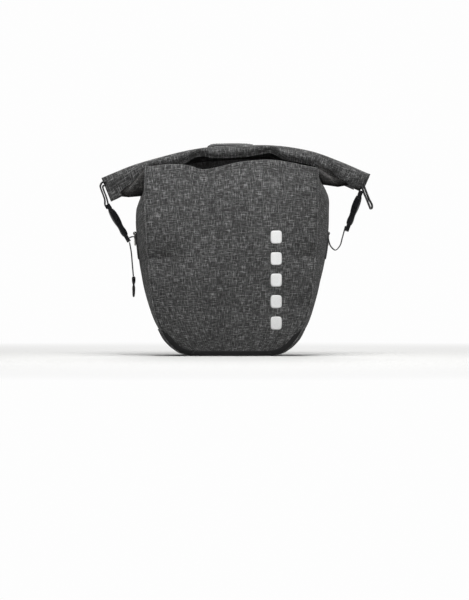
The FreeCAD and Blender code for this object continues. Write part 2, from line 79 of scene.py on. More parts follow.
# Above that each side turns in to its shoulder, where the gusset folds out towards the roll's end.
SIDE_TOP = {"left": [(0.263, 0.1645), (0.272, 0.1615), (0.279, 0.1560), (0.297, 0.1500), (0.340, 0.1480)],
            "right": [(0.277, 0.1695), (0.290, 0.1650), (0.299, 0.1595), (0.319, 0.1515), (0.340, 0.1490)]}
SHOULDER = {"left": 0.279, "right": 0.299}
FULLER = {"left": 0.0, "right": 0.0025}         # the right side bulges out a little more
BACK_TOP = [(0.280, 0.1600), (0.300, 0.1552), (0.3185, 0.1485), (0.332, 0.1450)]
FRONT_Y = [(0, -0.0645), (0.085, -0.0775), (0.170, -0.082), (0.255, -0.078), (0.332, -0.066)]
# Top edge of the front panel (x, z), with the slack dip left of its middle.
TOP_EDGE = [(-0.151, 0.3255), (-0.092, 0.3297), (-0.0757, 0.3280), (-0.0473, 0.3205), (-0.030, 0.3235),
            (0.0146, 0.3335), (0.0456, 0.3368), (0.0707, 0.3372), (0.123, 0.3285), (0.151, 0.3232)]
# Soft dents in the front (x, z, half width, half height, depth).
DENTS = [(-0.128, 0.170, 0.034, 0.017, 0.0175), (0.132, 0.174, 0.026, 0.014, 0.0130),
         (0.128, 0.090, 0.026, 0.011, 0.0070), (-0.040, 0.300, 0.030, 0.030, 0.0030),
         (0.060, 0.040, 0.060, 0.020, 0.0015), (-0.085, 0.165, 0.050, 0.016, 0.0020)]

# Upper edge of the rolled mouth (x, z) and how far its outer turn hangs down in front (x, depth).
ROLL_EDGE = [(-0.228, 0.3115), (-0.176, 0.3325), (-0.131, 0.3460), (-0.054, 0.3635), (0.006, 0.3680),
             (0.100, 0.3655), (0.147, 0.3560), (0.188, 0.3410), (0.2428, 0.3174)]
ROLL_DROP = [(-0.228, 0.0510), (-0.213, 0.0500), (-0.187, 0.0450), (-0.165, 0.0300), (-0.152, 0.0185),
             (-0.131, 0.0205), (-0.095, 0.0250), (-0.082, 0.0225), (-0.073, 0.0158), (-0.059, 0.0116),
             (-0.0485, 0.0140), (-0.038, 0.0205), (-0.0258, 0.0228), (0.0100, 0.0236), (0.0356, 0.0200),
             (0.053, 0.0152), (0.069, 0.0108), (0.077, 0.0145), (0.0884, 0.0240), (0.1164, 0.0285),
             (0.150, 0.0285), (0.192, 0.0340), (0.214, 0.0355), (0.226, 0.0300), (0.239, 0.0200)]
ROLL_HEIGHT = 0.037
ROLL_HALF_DEPTH = 0.0145
ROLL_TURNS = 2.6
ROLL_CORE = (0.0125, 0.0030)             # half height and half depth of the innermost turn
ROLL_CUT = (0.2375, 0.0053, 0.38)        # where its right end is cut back, over what length, by what share
ROLL_CREASE = (0.170, 0.85)              # the diagonal crease: its x on the upper edge, and x per height


# ---- curves and numbers ----
def smooth(knots):
    """A smooth function through (t, value) knots."""
    t, v = (np.array(column, float) for column in zip(*knots))
    slope = np.gradient(v, t)

    def value(x):
        x = np.clip(x, t[0], t[-1])
        i = np.clip(np.searchsorted(t, x) - 1, 0, len(t) - 2)
        h = t[i + 1] - t[i]
        s = (x - t[i]) / h
        return ((1 + 2 * s) * (1 - s) ** 2 * v[i] + s * (1 - s) ** 2 * h * slope[i]
                + s * s * (3 - 2 * s) * v[i + 1] + s * s * (s - 1) * h * slope[i + 1])

    return value


def through(points, count):
    """count points on a smooth path through a few points in space."""
    points = np.array(points, float)
    steps = np.linalg.norm(np.diff(points, axis=0), axis=1)
    t = np.concatenate([[0], np.cumsum(steps)]) / steps.sum()
    at = np.linspace(0, 1, count)
    return np.stack([smooth(list(zip(t, points[:, k])))(at) for k in range(3)], axis=1)


def ease(x):
    """0 below 0, 1 above 1, smooth between."""
    x = np.clip(x, 0, 1)
    return x * x * (3 - 2 * x)


def bump(distance, width):
    return np.exp(-(distance / width) ** 2)


def rumple(points, scale, seed):
    """Smooth noise of about -1..1 at each point; scale is the size of a feature on each axis."""
    flat = points.reshape(-1, 3)
    values = [noise.noise(Vector((p[0] / scale[0] + seed, p[1] / scale[1], p[2] / scale[2]))) for p in flat]
    return np.array(values).reshape(points.shape[:-1])


seam_half = smooth(SEAM_HALF)
front_y = smooth(FRONT_Y)
top_edge = smooth(TOP_EDGE)
roll_edge = smooth(ROLL_EDGE)
roll_drop = smooth(ROLL_DROP)
back_half = smooth([(z, x - 0.002) for z, x in SIDE_HALF] + BACK_TOP)
half_width = {name: smooth([(z, x + FULLER[name] * ease((z - 0.12) / 0.09)) for z, x in SIDE_HALF] + top)
              for name, top in SIDE_TOP.items()}


# ---- meshes ----
def put(name, data):
    """A new object in the scene."""
    item = bpy.data.objects.new(name, data)
    bpy.context.scene.collection.objects.link(item)
    return item


def surface(name, points, material):
    """A sheet of quads through a grid of points, with a UV map "weave" in metres."""
    rows, columns = points.shape[:2]
    index = np.arange(rows * columns).reshape(rows, columns)
    faces = np.stack([index[:-1, :-1], index[:-1, 1:], index[1:, 1:], index[1:, :-1]], axis=-1).reshape(-1, 4)
    mesh = bpy.data.meshes.new(name)
    mesh.from_pydata(points.reshape(-1, 3).tolist(), [], faces.tolist())
    across = np.linalg.norm(np.diff(points, axis=1), axis=2)
    along = np.linalg.norm(np.diff(points, axis=0), axis=2)
    u = np.concatenate([[0], np.cumsum(across.mean(axis=0))])
    v = np.concatenate([[0], np.cumsum(along.mean(axis=1))])
    uv = np.stack(np.meshgrid(u - u.mean(), v), axis=-1).reshape(-1, 2)
    layer = mesh.uv_layers.new(name="weave")
    layer.data.foreach_set("uv", uv[faces.reshape(-1)].astype(np.float32).ravel())
    mesh.polygons.foreach_set("use_smooth", [True] * len(mesh.polygons))
    mesh.materials.append(material)
    return put(name, mesh)


def weld(piece):
    """Joins a grid's touching columns and caps what is still open."""
    mesh = bmesh.new()
    mesh.from_mesh(piece.data)
    bmesh.ops.remove_doubles(mesh, verts=mesh.verts, dist=1e-6)
    bmesh.ops.holes_fill(mesh, edges=[e for e in mesh.edges if e.is_boundary], sides=0)
    bmesh.ops.recalc_face_normals(mesh, faces=mesh.faces)
    mesh.to_mesh(piece.data)
    mesh.free()
    return piece


def joined(name, pieces):
    """One piece made of several that share a material."""
    mesh = bmesh.new()
    for piece in pieces:
        mesh.from_mesh(piece.data)
    mesh.to_mesh(pieces[0].data)
    mesh.free()
    for extra in pieces[1:]:
        bpy.data.objects.remove(extra)
    pieces[0].name = pieces[0].data.name = name
    return pieces[0]


def sweep(name, line, section, material, hint=(0, 1, 0)):
    """A closed section swept along a line; section(share) gives its (across, out) points.

    Across lies as near to the hint's direction as the line allows.
    """
    count = len(line)
    along = np.gradient(line, axis=0)
    along /= np.linalg.norm(along, axis=1, keepdims=True)
    out = np.cross(along, np.array(hint, float))
    out /= np.linalg.norm(out, axis=1, keepdims=True)
    across = np.cross(out, along)
    sections = np.stack([section(k / (count - 1)) for k in range(count)])
    points = line[:, None] + across[:, None] * sections[..., :1] + out[:, None] * sections[..., 1:]
    points = np.concatenate([points, points[:, :1]], axis=1)
    return weld(surface(name, points, material))


def rounded_section(half_width, half_height, power=1.0, count=16):
    """An ellipse (power 1) or a squarer round (power under 1) as (across, out) points."""
    a = np.linspace(0, 2 * math.pi, count, endpoint=False)
    c, s = np.cos(a), np.sin(a)
    return np.stack([half_width * np.sign(c) * np.abs(c) ** power,
                     half_height * np.sign(s) * np.abs(s) ** power], axis=1)


def apply_modifiers(piece):
    depsgraph = bpy.context.evaluated_depsgraph_get()
    mesh = bpy.data.meshes.new_from_object(piece.evaluated_get(depsgraph), preserve_all_data_layers=True,
                                           depsgraph=depsgraph)
    piece.modifiers.clear()
    old = piece.data
    piece.data = mesh
    bpy.data.meshes.remove(old)
    mesh.name = piece.name
    return piece


def thicken(piece, thickness, offset=-1):
    """Gives a sheet its thickness; offset -1 adds it behind the faces, 1 in front, 0 to both sides."""
    solid = piece.modifiers.new("thickness", "SOLIDIFY")
    solid.thickness = thickness
    solid.offset = offset
    return apply_modifiers(piece)


def drape(piece, pinned, pull, slack, cap, frames=20):
    """Cloth simulation: the pinned vertices hold still while the pull acts on the slack cloth between them.

    cap is the furthest that a vertex may end up from where it was drawn.
    """
    scene = bpy.context.scene
    group = piece.vertex_groups.new(name="pinned")
    group.add([int(i) for i in pinned], 1.0, "REPLACE")
    cloth = piece.modifiers.new("cloth", "CLOTH")
    cloth.settings.vertex_group_mass = "pinned"
    cloth.settings.quality = 5
    cloth.settings.mass = 0.2
    cloth.settings.shrink_min = -slack
    cloth.settings.bending_stiffness = 1.5
    cloth.collision_settings.use_collision = False
    cloth.point_cache.frame_start = 1
    cloth.point_cache.frame_end = frames
    scene.gravity = pull
    before = np.array([v.co for v in piece.data.vertices])
    for step in range(1, frames + 1):
        scene.frame_set(step)
    settled = piece.evaluated_get(bpy.context.evaluated_depsgraph_get()).data
    after = np.array([v.co for v in settled.vertices])
    moved = after - before
    length = np.linalg.norm(moved, axis=1, keepdims=True)
    moved *= cap * np.tanh(length / cap) / np.maximum(length, 1e-9)
    piece.modifiers.clear()
    piece.vertex_groups.clear()
    piece.data.vertices.foreach_set("co", (before + moved).astype(np.float32).ravel())
    piece.data.update()
    scene.frame_set(1)


def border(rows, columns):
    """Vertex numbers round the edge of a grid."""
    index = np.arange(rows * columns).reshape(rows, columns)
    return np.unique(np.concatenate([index[0], index[-1], index[:, 0], index[:, -1]]))


# ---- materials ----
class Shader:
    """A node material, built one node at a time."""

    def __init__(self, name):
        self.material = bpy.data.materials.new(name)
        self.material.use_nodes = True
        self.tree = self.material.node_tree
        self.body = self.tree.nodes["Principled BSDF"]

    def add(self, kind, inputs=None, **settings):
        node = self.tree.nodes.new("ShaderNode" + kind)
        for key, value in settings.items():
            setattr(node, key, value)
        for key, value in (inputs or {}).items():
            self.set(node, key, value)
        return node

    def set(self, node, key, value):
        if isinstance(value, bpy.types.NodeSocket):
            self.tree.links.new(value, node.inputs[key])
        else:
            node.inputs[key].default_value = value

    def math(self, operation, a, b=0.0):
        return self.add("Math", {0: a, 1: b}, operation=operation).outputs[0]

    def noise(self, vector, scale=1.0, detail=2.0, dimensions="3D", roughness=0.5):
        inputs = {"Vector": vector, "Scale": scale, "Detail": detail, "Roughness": roughness}
        return self.add("TexNoise", inputs, noise_dimensions=dimensions).outputs["Fac"]

    def stretch(self, vector, scale):
        return self.add("Mapping", {"Vector": vector, "Scale": scale}).outputs["Vector"]

    def spread(self, value, low, high, to_low=0.0, to_high=1.0):
        inputs = {"Value": value, "From Min": low, "From Max": high, "To Min": to_low, "To Max": to_high}
        return self.add("MapRange", inputs).outputs["Result"]

    def ramp(self, value, stops):
        node = self.add("ValToRGB", {"Fac": value})
        elements = node.color_ramp.elements
        while len(elements) < len(stops):
            elements.new(0.5)
        for element, (position, colour) in zip(elements, stops):
            element.position = position
            element.color = (*colour, 1)
        return node.outputs["Color"]

    def grey(self, level):
        return self.add("CombineColor", {"Red": level, "Green": level, "Blue": level}).outputs["Color"]

    def tint(self, colour, value):
        """The colour times a value."""
        inputs = {6: colour, 7: value, 0: 1.0}
        return self.add("Mix", inputs, data_type="RGBA", blend_type="MULTIPLY").outputs[2]

    def bumps(self, height, distance, strength=1.0):
        inputs = {"Height": height, "Distance": distance, "Strength": strength}
        self.set(self.body, "Normal", self.add("Bump", inputs).outputs["Normal"])

    def finish(self, **values):
        """Uniform values set on the shader's own sockets, by name with _ for a space."""
        for key, value in values.items():
            self.set(self.body, key.replace("_", " "), value)
        return self.material


def place(shader):
    """Position on the object, in metres."""
    return shader.add("TexCoord").outputs["Object"]


def heather(name, shade=1.0, warmth=0.0, recess=None):
    """Coated heather cloth: dark and light yarns both ways, with longer light slubs.

    recess (near, far, floor) paints shade on the cloth: it dims the colour, specular level and sheen from
    full at far to floor at near, measured from the bag's middle plane, where deep folds lie in shade.
    """
    s = Shader(name)
    weave = s.add("UVMap", uv_map="weave").outputs["UV"]
    tones = []
    for scale in ((80, 680, 1), (680, 80, 1)):
        slub = s.noise(s.stretch(weave, scale), detail=3, dimensions="2D", roughness=0.6)
        tones.append(s.spread(slub, 0.32, 0.72))
    pitch = 2 * math.pi / (1.3 * MM)
    split = s.add("SeparateXYZ", {"Vector": weave})
    waves = [s.math("SINE", s.math("MULTIPLY", split.outputs[axis], pitch)) for axis in ("X", "Y")]
    over = s.math("MULTIPLY", waves[0], waves[1])
    pick = s.spread(over, -0.5, 0.5)
    yarn = s.add("Mix", {0: pick, 2: tones[0], 3: tones[1]}, data_type="FLOAT").outputs[0]
    speck = s.noise(weave, scale=1500, detail=1, dimensions="2D")
    both = s.math("MAXIMUM", tones[0], tones[1])
    yarn = s.math("ADD", s.math("MULTIPLY", yarn, 0.54), s.math("MULTIPLY", both, 0.34))
    yarn = s.math("ADD", yarn, s.math("MULTIPLY", speck, 0.1))
    tone = np.array([1.0 + warmth, 1.0, 1.0 - warmth]) * shade
    stops = [(0.25, 0.019), (0.45, 0.038), (0.60, 0.068), (0.74, 0.142), (0.90, 0.280)]
    colour = s.ramp(yarn, [(at, tuple(tone * level)) for at, level in stops])
    wear_and_painted_shade = s.spread(s.noise(place(s), scale=11, detail=4), 0.3, 0.7, 0.80, 1.16)
    # Painted shade: colour, specular level and sheen dim towards the bag's middle plane, as under the roll.
    if recess:
        near, far, floor = recess
        depth = s.add("SeparateXYZ", {"Vector": place(s)}).outputs["Y"]
        open_to_light = s.spread(s.math("ABSOLUTE", depth), near, far, floor, 1.0)
        wear_and_painted_shade = s.math("MULTIPLY", wear_and_painted_shade, open_to_light)
        s.set(s.body, "Specular IOR Level", s.math("MULTIPLY", open_to_light, 0.3 * shade))
        s.set(s.body, "Sheen Weight", s.math("MULTIPLY", open_to_light, 0.05 * shade))
    s.set(s.body, "Base Color", s.tint(colour, s.grey(wear_and_painted_shade)))
    s.set(s.body, "Roughness", s.spread(yarn, 0.2, 0.9, 0.92, 0.72))
    height = s.math("ADD", s.math("MULTIPLY", over, 0.4), yarn)
    s.bumps(height, 0.25 * MM, 0.8)
    return s.finish(Sheen_Weight=0.05 * shade, Sheen_Roughness=0.5, Specular_IOR_Level=0.3 * min(shade, 1))


def rubber(name, colour, roughness=0.62):
    s = Shader(name)
    at = place(s)
    grain = s.noise(at, scale=900, detail=3)
    dust = s.spread(s.noise(at, scale=30, detail=5), 0.35, 0.75, 0.9, 1.35)
    s.set(s.body, "Base Color", s.tint((*colour, 1), s.grey(dust)))
    s.set(s.body, "Roughness", s.spread(grain, 0.3, 0.7, roughness - 0.08, roughness + 0.1))
    s.bumps(grain, 0.12 * MM, 0.7)
    return s.finish(Specular_IOR_Level=0.25)


def moulded(name, colour, roughness=0.38, shine=0.5):
    """Moulded plastic with a spark-eroded grain and light scuffs."""
    s = Shader(name)
    at = place(s)
    grain = s.noise(at, scale=1400, detail=2)
    scuffs = s.noise(s.stretch(at, (260, 30, 90)), detail=6, roughness=0.7)
    scuffs = s.spread(scuffs, 0.58, 0.74, 1.0, 2.4)
    s.set(s.body, "Base Color", s.tint((*colour, 1), s.grey(scuffs)))
    patches = s.noise(at, scale=70, detail=3)
    s.set(s.body, "Roughness", s.spread(patches, 0.3, 0.7, roughness - 0.07, roughness + 0.12))
    s.bumps(grain, 0.05 * MM, 0.6)
    return s.finish(Specular_IOR_Level=shine)


def webbing_cloth(name, colour, unwrapped=True):
    """Woven tape: ribs across with a chevron along. A piece that isn't unwrapped lies square to X."""
    s = Shader(name)
    weave = s.add("UVMap", uv_map="weave").outputs["UV"] if unwrapped else place(s)
    split = s.add("SeparateXYZ", {"Vector": weave})
    across, along = (split.outputs[axis] for axis in ("XY" if unwrapped else "YZ"))
    fold = s.math("PINGPONG", across, 3.1 * MM)
    ribs = s.math("SINE", s.math("MULTIPLY", s.math("ADD", along, fold), 2 * math.pi / (2.4 * MM)))
    cords = s.math("SINE", s.math("MULTIPLY", across, 2 * math.pi / (1.2 * MM)))
    height = s.math("ADD", s.math("MULTIPLY", ribs, 0.6), s.math("MULTIPLY", cords, 0.4))
    fuzz = s.noise(weave, scale=1800, detail=2)
    # The colour follows the weave's height, lighter on the ribs and darker in the grooves: painted light and
    # shade.
    level = s.math("ADD", s.spread(height, -1, 1, 0.45, 1.5), s.spread(fuzz, 0.3, 0.7, -0.15, 0.25))
    s.set(s.body, "Base Color", s.tint((*colour, 1), s.grey(level)))
    s.set(s.body, "Roughness", s.spread(height, -1, 1, 0.8, 0.55))
    s.bumps(height, 0.3 * MM, 1.0)
    return s.finish(Sheen_Weight=0.1, Sheen_Roughness=0.4)


def metal(name, colour, roughness, brushed):
    """Brushed metal; brushed is the stretch of the scratches on each axis."""
    s = Shader(name)
    at = place(s)
    lines = s.noise(s.stretch(at, brushed), detail=4)
    tone = s.spread(s.noise(at, scale=45, detail=3), 0.3, 0.7, 0.88, 1.08)
    s.set(s.body, "Base Color", s.tint((*colour, 1), s.grey(tone)))
    s.set(s.body, "Roughness", s.spread(lines, 0.25, 0.75, roughness - 0.08, roughness + 0.14))
    s.bumps(lines, 0.01 * MM, 0.4)
    return s.finish(Metallic=1.0)


def reflective(name):
    """Printed reflective film: a fine layer of glass beads."""
    s = Shader(name)
    at = place(s)
    beads = s.add("TexVoronoi", {"Vector": at, "Scale": 2200.0}).outputs["Distance"]
    sparkle = s.noise(at, scale=1100, detail=2)
    level = s.math("ADD", s.spread(beads, 0.0, 0.8, 0.78, 0.62), s.spread(sparkle, 0.4, 0.7, 0.0, 0.1))
    s.set(s.body, "Base Color", s.grey(level))
    s.set(s.body, "Roughness", s.spread(sparkle, 0.3, 0.7, 0.3, 0.5))
    s.bumps(beads, 0.04 * MM, 0.5)
    return s.finish(Specular_IOR_Level=0.6)


CLOTH = heather("heather_cloth")
CLOTH_IN = heather("heather_cloth_back", 0.70)
# The fold and collar cloths are dimmed towards the bag's middle plane: painted shade under the roll's lip.
CLOTH_FOLD = heather("heather_cloth_fold", 0.78, 0.03, recess=(0.005, 0.019, 0.16))
# The welt's cloth is a lighter copy of the cloth: painted highlight along the seam's ridge.
CLOTH_SEAM_HIGHLIGHT = heather("heather_cloth_seam_highlight", 1.4)
CLOTH_COLLAR = heather("heather_cloth_collar", 0.70, recess=(0.036, 0.066, 0.13))
# Near-black cloth for the roll's inner turns: painted shade for the dark gap under the roll's lip.
ROLL_GAP_SHADE_CLOTH = heather("roll_gap_painted_shade", 0.07)
BOOT = rubber("boot_rubber", (0.008, 0.008, 0.0084))
LINER = rubber("liner_rubber", (0.045, 0.045, 0.047), 0.7)
TAPE = webbing_cloth("black_webbing", (0.016, 0.016, 0.0175))
TAPE_FLAT = webbing_cloth("black_webbing_patch", (0.016, 0.016, 0.0175), unwrapped=False)
THREAD = rubber("sewing_thread", (0.10, 0.10, 0.105), 0.7)
BUCKLE = moulded("buckle_plastic", (0.005, 0.005, 0.006), 0.14, 0.3)
HARDWARE = moulded("hardware_plastic", (0.011, 0.011, 0.012), 0.45)
BOARD = moulded("board_plastic", (0.014, 0.014, 0.014), 0.5)
RAIL = metal("anodised_rail", (0.42, 0.43, 0.45), 0.34, (12, 900, 900))
STEEL = metal("plated_steel", (0.62, 0.61, 0.58), 0.26, (300, 300, 60))
PRINT = reflective("reflective_print")


# ---- bag body ----
SIDES = {"left": -1, "right": 1}
PANEL_ROWS = np.concatenate([np.linspace(0, BASE_CURVE, 13)[:-1], np.linspace(BASE_CURVE, PANEL_TOP, 62)])
PANEL_COLUMNS = np.linspace(-1, 1, 66)


def on_panel(x, z):
    """Depth of the front panel: crowned, drawn back at its seams, dented, and puckered beside them."""
    half = seam_half(z)
    across = np.clip(np.abs(x) / half, 0, 1)
    y = front_y(z) + 0.0065 * across ** 3.2 + 0.0015 * ease((across - 0.975) / 0.025)
    for dent_x, dent_z, wide, tall, depth in DENTS:
        y = y + depth * np.exp(-((x - dent_x) / wide) ** 2 - ((z - dent_z) / tall) ** 2)
    pucker = np.sin(z * 2 * math.pi / 0.019 + 2.5 * np.sin(z * 41)) * ease((across - 0.86) / 0.1)
    return y + 0.0005 * pucker


def lifted(x, z):
    """Panel heights, drawn to the shape of the top edge near it."""
    return z + (top_edge(x) - PANEL_TOP) * ease((z - SLACK_FROM) / (PANEL_TOP - SLACK_FROM))


def fold_line():
    """Where the front panel turns over at its top, left to right."""
    x = PANEL_COLUMNS * seam_half(PANEL_TOP)
    return np.stack([x, on_panel(x, PANEL_TOP), top_edge(x)], axis=1)


def front_panel():
    z_flat = PANEL_ROWS[:, None] * np.ones_like(PANEL_COLUMNS)
    x = seam_half(z_flat) * PANEL_COLUMNS
    points = np.stack([x, on_panel(x, z_flat), lifted(x, z_flat)], axis=-1)
    turn = []
    for angle in (30, 60, 90):
        a = math.radians(angle)
        turned = fold_line()
        turned[:, 1] += FOLD_RADIUS * (1 - math.cos(a))
        turned[:, 2] += FOLD_RADIUS * math.sin(a) - 0.0008
        turn.append(turned)
    points = np.concatenate([points, np.stack(turn)])
    piece = surface("front_panel_cloth", points, CLOTH)
    rows, columns = points.shape[:2]
    index = np.arange(rows * columns).reshape(rows, columns)
    held = 6                                 # rows at the bottom and at the top that keep their drawn shape
    pinned = np.union1d(border(rows, columns), np.concatenate([index[:held].ravel(), index[-held:].ravel()]))
    drape(piece, pinned, (0, -6, -3), 0.002, 0.004)
    thicken(piece, FABRIC, -1)
    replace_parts(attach(piece, "root"), "front_panel")
    reflective_marks(piece)


def lay_on(points, cloth, towards, lift):
    """Moves a grid of points onto the cloth, which lies in the towards direction; it bridges small dips."""
    axis, reach = int(np.argmax(np.abs(towards))), 3 * MM
    steps = [np.eye(3)[k] * reach * sign for k in range(3) if k != axis for sign in (-1, 0, 1)]
    tree = BVHTree.FromObject(cloth, bpy.context.evaluated_depsgraph_get())
    away = Vector(towards) * -0.4
    for spot in points.reshape(-1, 3):
        hits = [tree.ray_cast(Vector(spot + step) + away, Vector(towards))[0] for step in steps]
        spot[axis] = np.mean([hit[axis] for hit in hits if hit]) - towards[axis] * lift


def reflective_marks(cloth):
    """Plain pills printed in a column, lying on the cloth."""
    low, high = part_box("reflective_marks")
    width, tall, count, film = high.x - low.x, 0.022, 5, 0.6 * MM
    pitch = (high.z - low.z - tall) / (count - 1)
    outline = rounded_section(width / 2, tall / 2, 0.45, 48)
    outline = np.concatenate([outline, outline[:1]])
    for number in range(count):
        centre = np.array([(low.x + high.x) / 2, low.z + tall / 2 + pitch * number])
        rings = [centre + outline * share for share in np.linspace(0.02, 1, 9)]
        points = np.zeros((len(rings), len(outline), 3))
        points[..., 0::2] = rings
        lay_on(points, cloth, (0, 1, 0), film / 4)
        mark = thicken(weld(surface("reflective_mark_%d" % (number + 1), points, PRINT)), film, 0)
        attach(mark, "root")
        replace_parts(mark, "reflective_marks")


def strip_point(name, z, t):
    """The gusset at height z: t runs from the front seam (0) to the back panel (1)."""
    side = SIDES[name]
    seam = seam_half(z)
    wide = half_width[name](z)
    x = seam + (wide - seam) * np.clip(np.sin(np.minimum(t * 2.4, 1) * math.pi / 2), 0, 1) ** 0.8
    x = x + (back_half(z) - wide) * ease((t - 0.5) / 0.5)
    start = on_panel(side * seam, z)
    return np.stack(np.broadcast_arrays(side * x, start + (BACK_Y - BACK_GAP - start) * t, z), axis=-1)


GUSSET_T = np.concatenate([np.linspace(0, 0.12, 6)[:-1], np.linspace(0.12, 0.5, 12)[:-1],
                           np.linspace(0.5, 1, 16)])


def notch(name, t):
    """Height of the gusset's upper edge: a V whose point is the shoulder."""
    corner = top_edge(SIDES[name] * CORNER)
    away = np.abs(2 * t - 1)
    rise = 0.22 * away ** 2 + 0.78 * away
    return SHOULDER[name] + (corner - SHOULDER[name]) * rise


def gusset_edge(name, t):
    """Points on the gusset's V-shaped upper edge."""
    return strip_point(name, notch(name, t), t)


def gusset(name):
    share = np.linspace(0, 1, 60)[:, None]
    t = GUSSET_T[None, :]
    foot = BOOT_TOP - 4 * MM                 # tucked in behind the boot
    z = foot + (notch(name, t) - foot) * share
    points = strip_point(name, z, t * np.ones_like(z))
    ripple = rumple(points, (0.05, 0.030, 0.055), 3.0) * np.sin(math.pi * t) * 0.0022
    points[..., 0] += SIDES[name] * (ripple - 0.001)
    if name == "left":
        points = points[:, ::-1]
    piece = surface(name + "_gusset_cloth", points, CLOTH)
    drape(piece, border(*points.shape[:2]), (4.0 * SIDES[name], 0, -4), 0.002, 0.003)
    thicken(piece, FABRIC, -1)
    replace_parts(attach(piece, "root"), name + "_gusset")
    strap_patch(name, piece)


def strap_patch(name, cloth):
    """Webbing sewn flat on the gusset under the side strap's end, with a box and a cross of stitches."""
    low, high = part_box(name + "_strap_patch")
    side = SIDES[name]
    points = np.zeros((20, 12, 3))
    points[..., 1] = np.linspace(low.y, high.y, 12)[::side]
    points[..., 2] = np.linspace(low.z, high.z, 20)[:, None]
    lay_on(points, cloth, (-side, 0, 0), WEB)
    patch = thicken(surface(name + "_patch_webbing", points, TAPE), WEB, -1)
    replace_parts(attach(patch, "root"), name + "_strap_patch")
    a, b, c, d = low.y + 0.003, high.y - 0.003, low.z + 0.003, high.z - 0.016
    corners = [(a, c), (b, c), (b, d), (a, d)]
    runs = list(zip(corners, corners[1:] + corners[:1])) + [((a, c), (b, d)), ((a, d), (b, c))]
    stitches(name + "_patch_stitches", runs, patch, side)


def back_panel():
    columns = 49
    rows = np.concatenate([np.linspace(0.0005, BASE_CURVE, 13)[:-1], np.linspace(BASE_CURVE, PANEL_TOP, 44)])
    z_flat = rows[:, None] * np.ones(columns)
    x = back_half(z_flat) * np.linspace(-1, 1, columns)
    z = z_flat + (lifted(x, z_flat) - z_flat) * BACK_FOLLOWS
    y = (BACK_Y - BACK_GAP) * np.ones_like(x)
    points = np.stack([x, y, z], axis=-1)[:, ::-1]
    piece = surface("back_panel_cloth", points, CLOTH)
    thicken(piece, FABRIC, -1)
    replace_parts(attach(piece, "root"), "back_panel")


def lower_line(t, proud=0.0):
    """The bag's lower outline at depth share t, from the left, round the base, to the right."""
    z = BOOT_TOP * np.linspace(1, 0, 26) ** 1.7
    left, right = strip_point("left", z, t), strip_point("right", z, t)[::-1]
    y = left[-1][1]
    base = np.stack([np.linspace(left[-1][0], right[0][0], 26), np.full(26, y), np.zeros(26)], axis=1)[1:-1]
    path = np.concatenate([left, base, right])
    flat = path[:, ::2]
    along = np.gradient(flat, axis=0)
    along /= np.linalg.norm(along, axis=1, keepdims=True)
    path[:, 0] += along[:, 1] * proud
    path[:, 2] -= along[:, 0] * proud
    return path


def boot():
    """Rubber tray: wraps the base and lower sides, with a lip on the front and back faces."""
    proud = 0.8 * MM
    taper = ease((BOOT_TOP + 0.002 - lower_line(0)[:, 2]) / 0.020)

    def lip_row(t, share):
        outline = lower_line(t)
        return outline + (lower_line(t, -BOOT_LIP) - outline) * (share * taper)[:, None]

    rows = []
    for share in (1, 0.8, 0.6, 0.4, 0.2, 0.05):
        row = lip_row(0, share)
        row[:, 1] = on_panel(row[:, 0], np.maximum(row[:, 2], 0)) - proud
        rows.append(row)
    for t in np.concatenate([[0.004], np.linspace(0.015, 0.985, 30), [0.996]]):
        rows.append(lower_line(t, proud))
    for share in (0.05, 0.5, 1):
        row = lip_row(1, share)
        row[:, 1] = BACK_Y
        rows.append(row)
    points = np.stack(rows)
    points[..., 2] = np.maximum(points[..., 2], 0.0003)
    piece = surface("boot_tray", points[:, ::-1], BOOT)
    thicken(piece, BOOT_WALL, -1)
    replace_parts(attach(piece, "root"), "bottom_boot")


def seams():
    """Welt round the front panel and piping round the back panel, from one top corner to the other."""
    # The front welt takes the lighter cloth: painted highlight.
    for name, t, radius, material, slot in (("front_welt", 0.0, 1.2 * MM, CLOTH_SEAM_HIGHLIGHT, "heather_fabric"),
                                            ("back_piping", 1.0, 1.5 * MM, TAPE, "webbing")):
        z = np.linspace(0, 1, 70)
        sides = []
        for side_name in ("left", "right"):
            top = float(notch(side_name, np.array(t)))
            sides.append(strip_point(side_name, BOOT_TOP + (top - BOOT_TOP) * z, t))
        line = np.concatenate([sides[0][::-1], lower_line(t)[1:-1], sides[1]])
        line[:, 1] += (2 * t - 1) * radius / 2
        line[:, 2] = np.maximum(line[:, 2], radius)
        keep = np.concatenate([[True], np.linalg.norm(np.diff(line, axis=0), axis=1) > 0.0008])
        section = rounded_section(radius, radius, count=8)
        piece = sweep(name, line[keep], lambda share: section, material)
        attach(piece, "root")


# ---- rolled mouth ----
def roll_frame(count):
    """Stations along the roll: x of the upper edge, the edge's points and its downward normals."""
    x = np.linspace(ROLL_EDGE[0][0], ROLL_EDGE[-1][0], count)
    edge = np.stack([x, roll_edge(x)], axis=1)
    along = np.gradient(edge, axis=0)
    along /= np.linalg.norm(along, axis=1, keepdims=True)
    return x, edge, np.stack([along[:, 1], -along[:, 0]], axis=1)


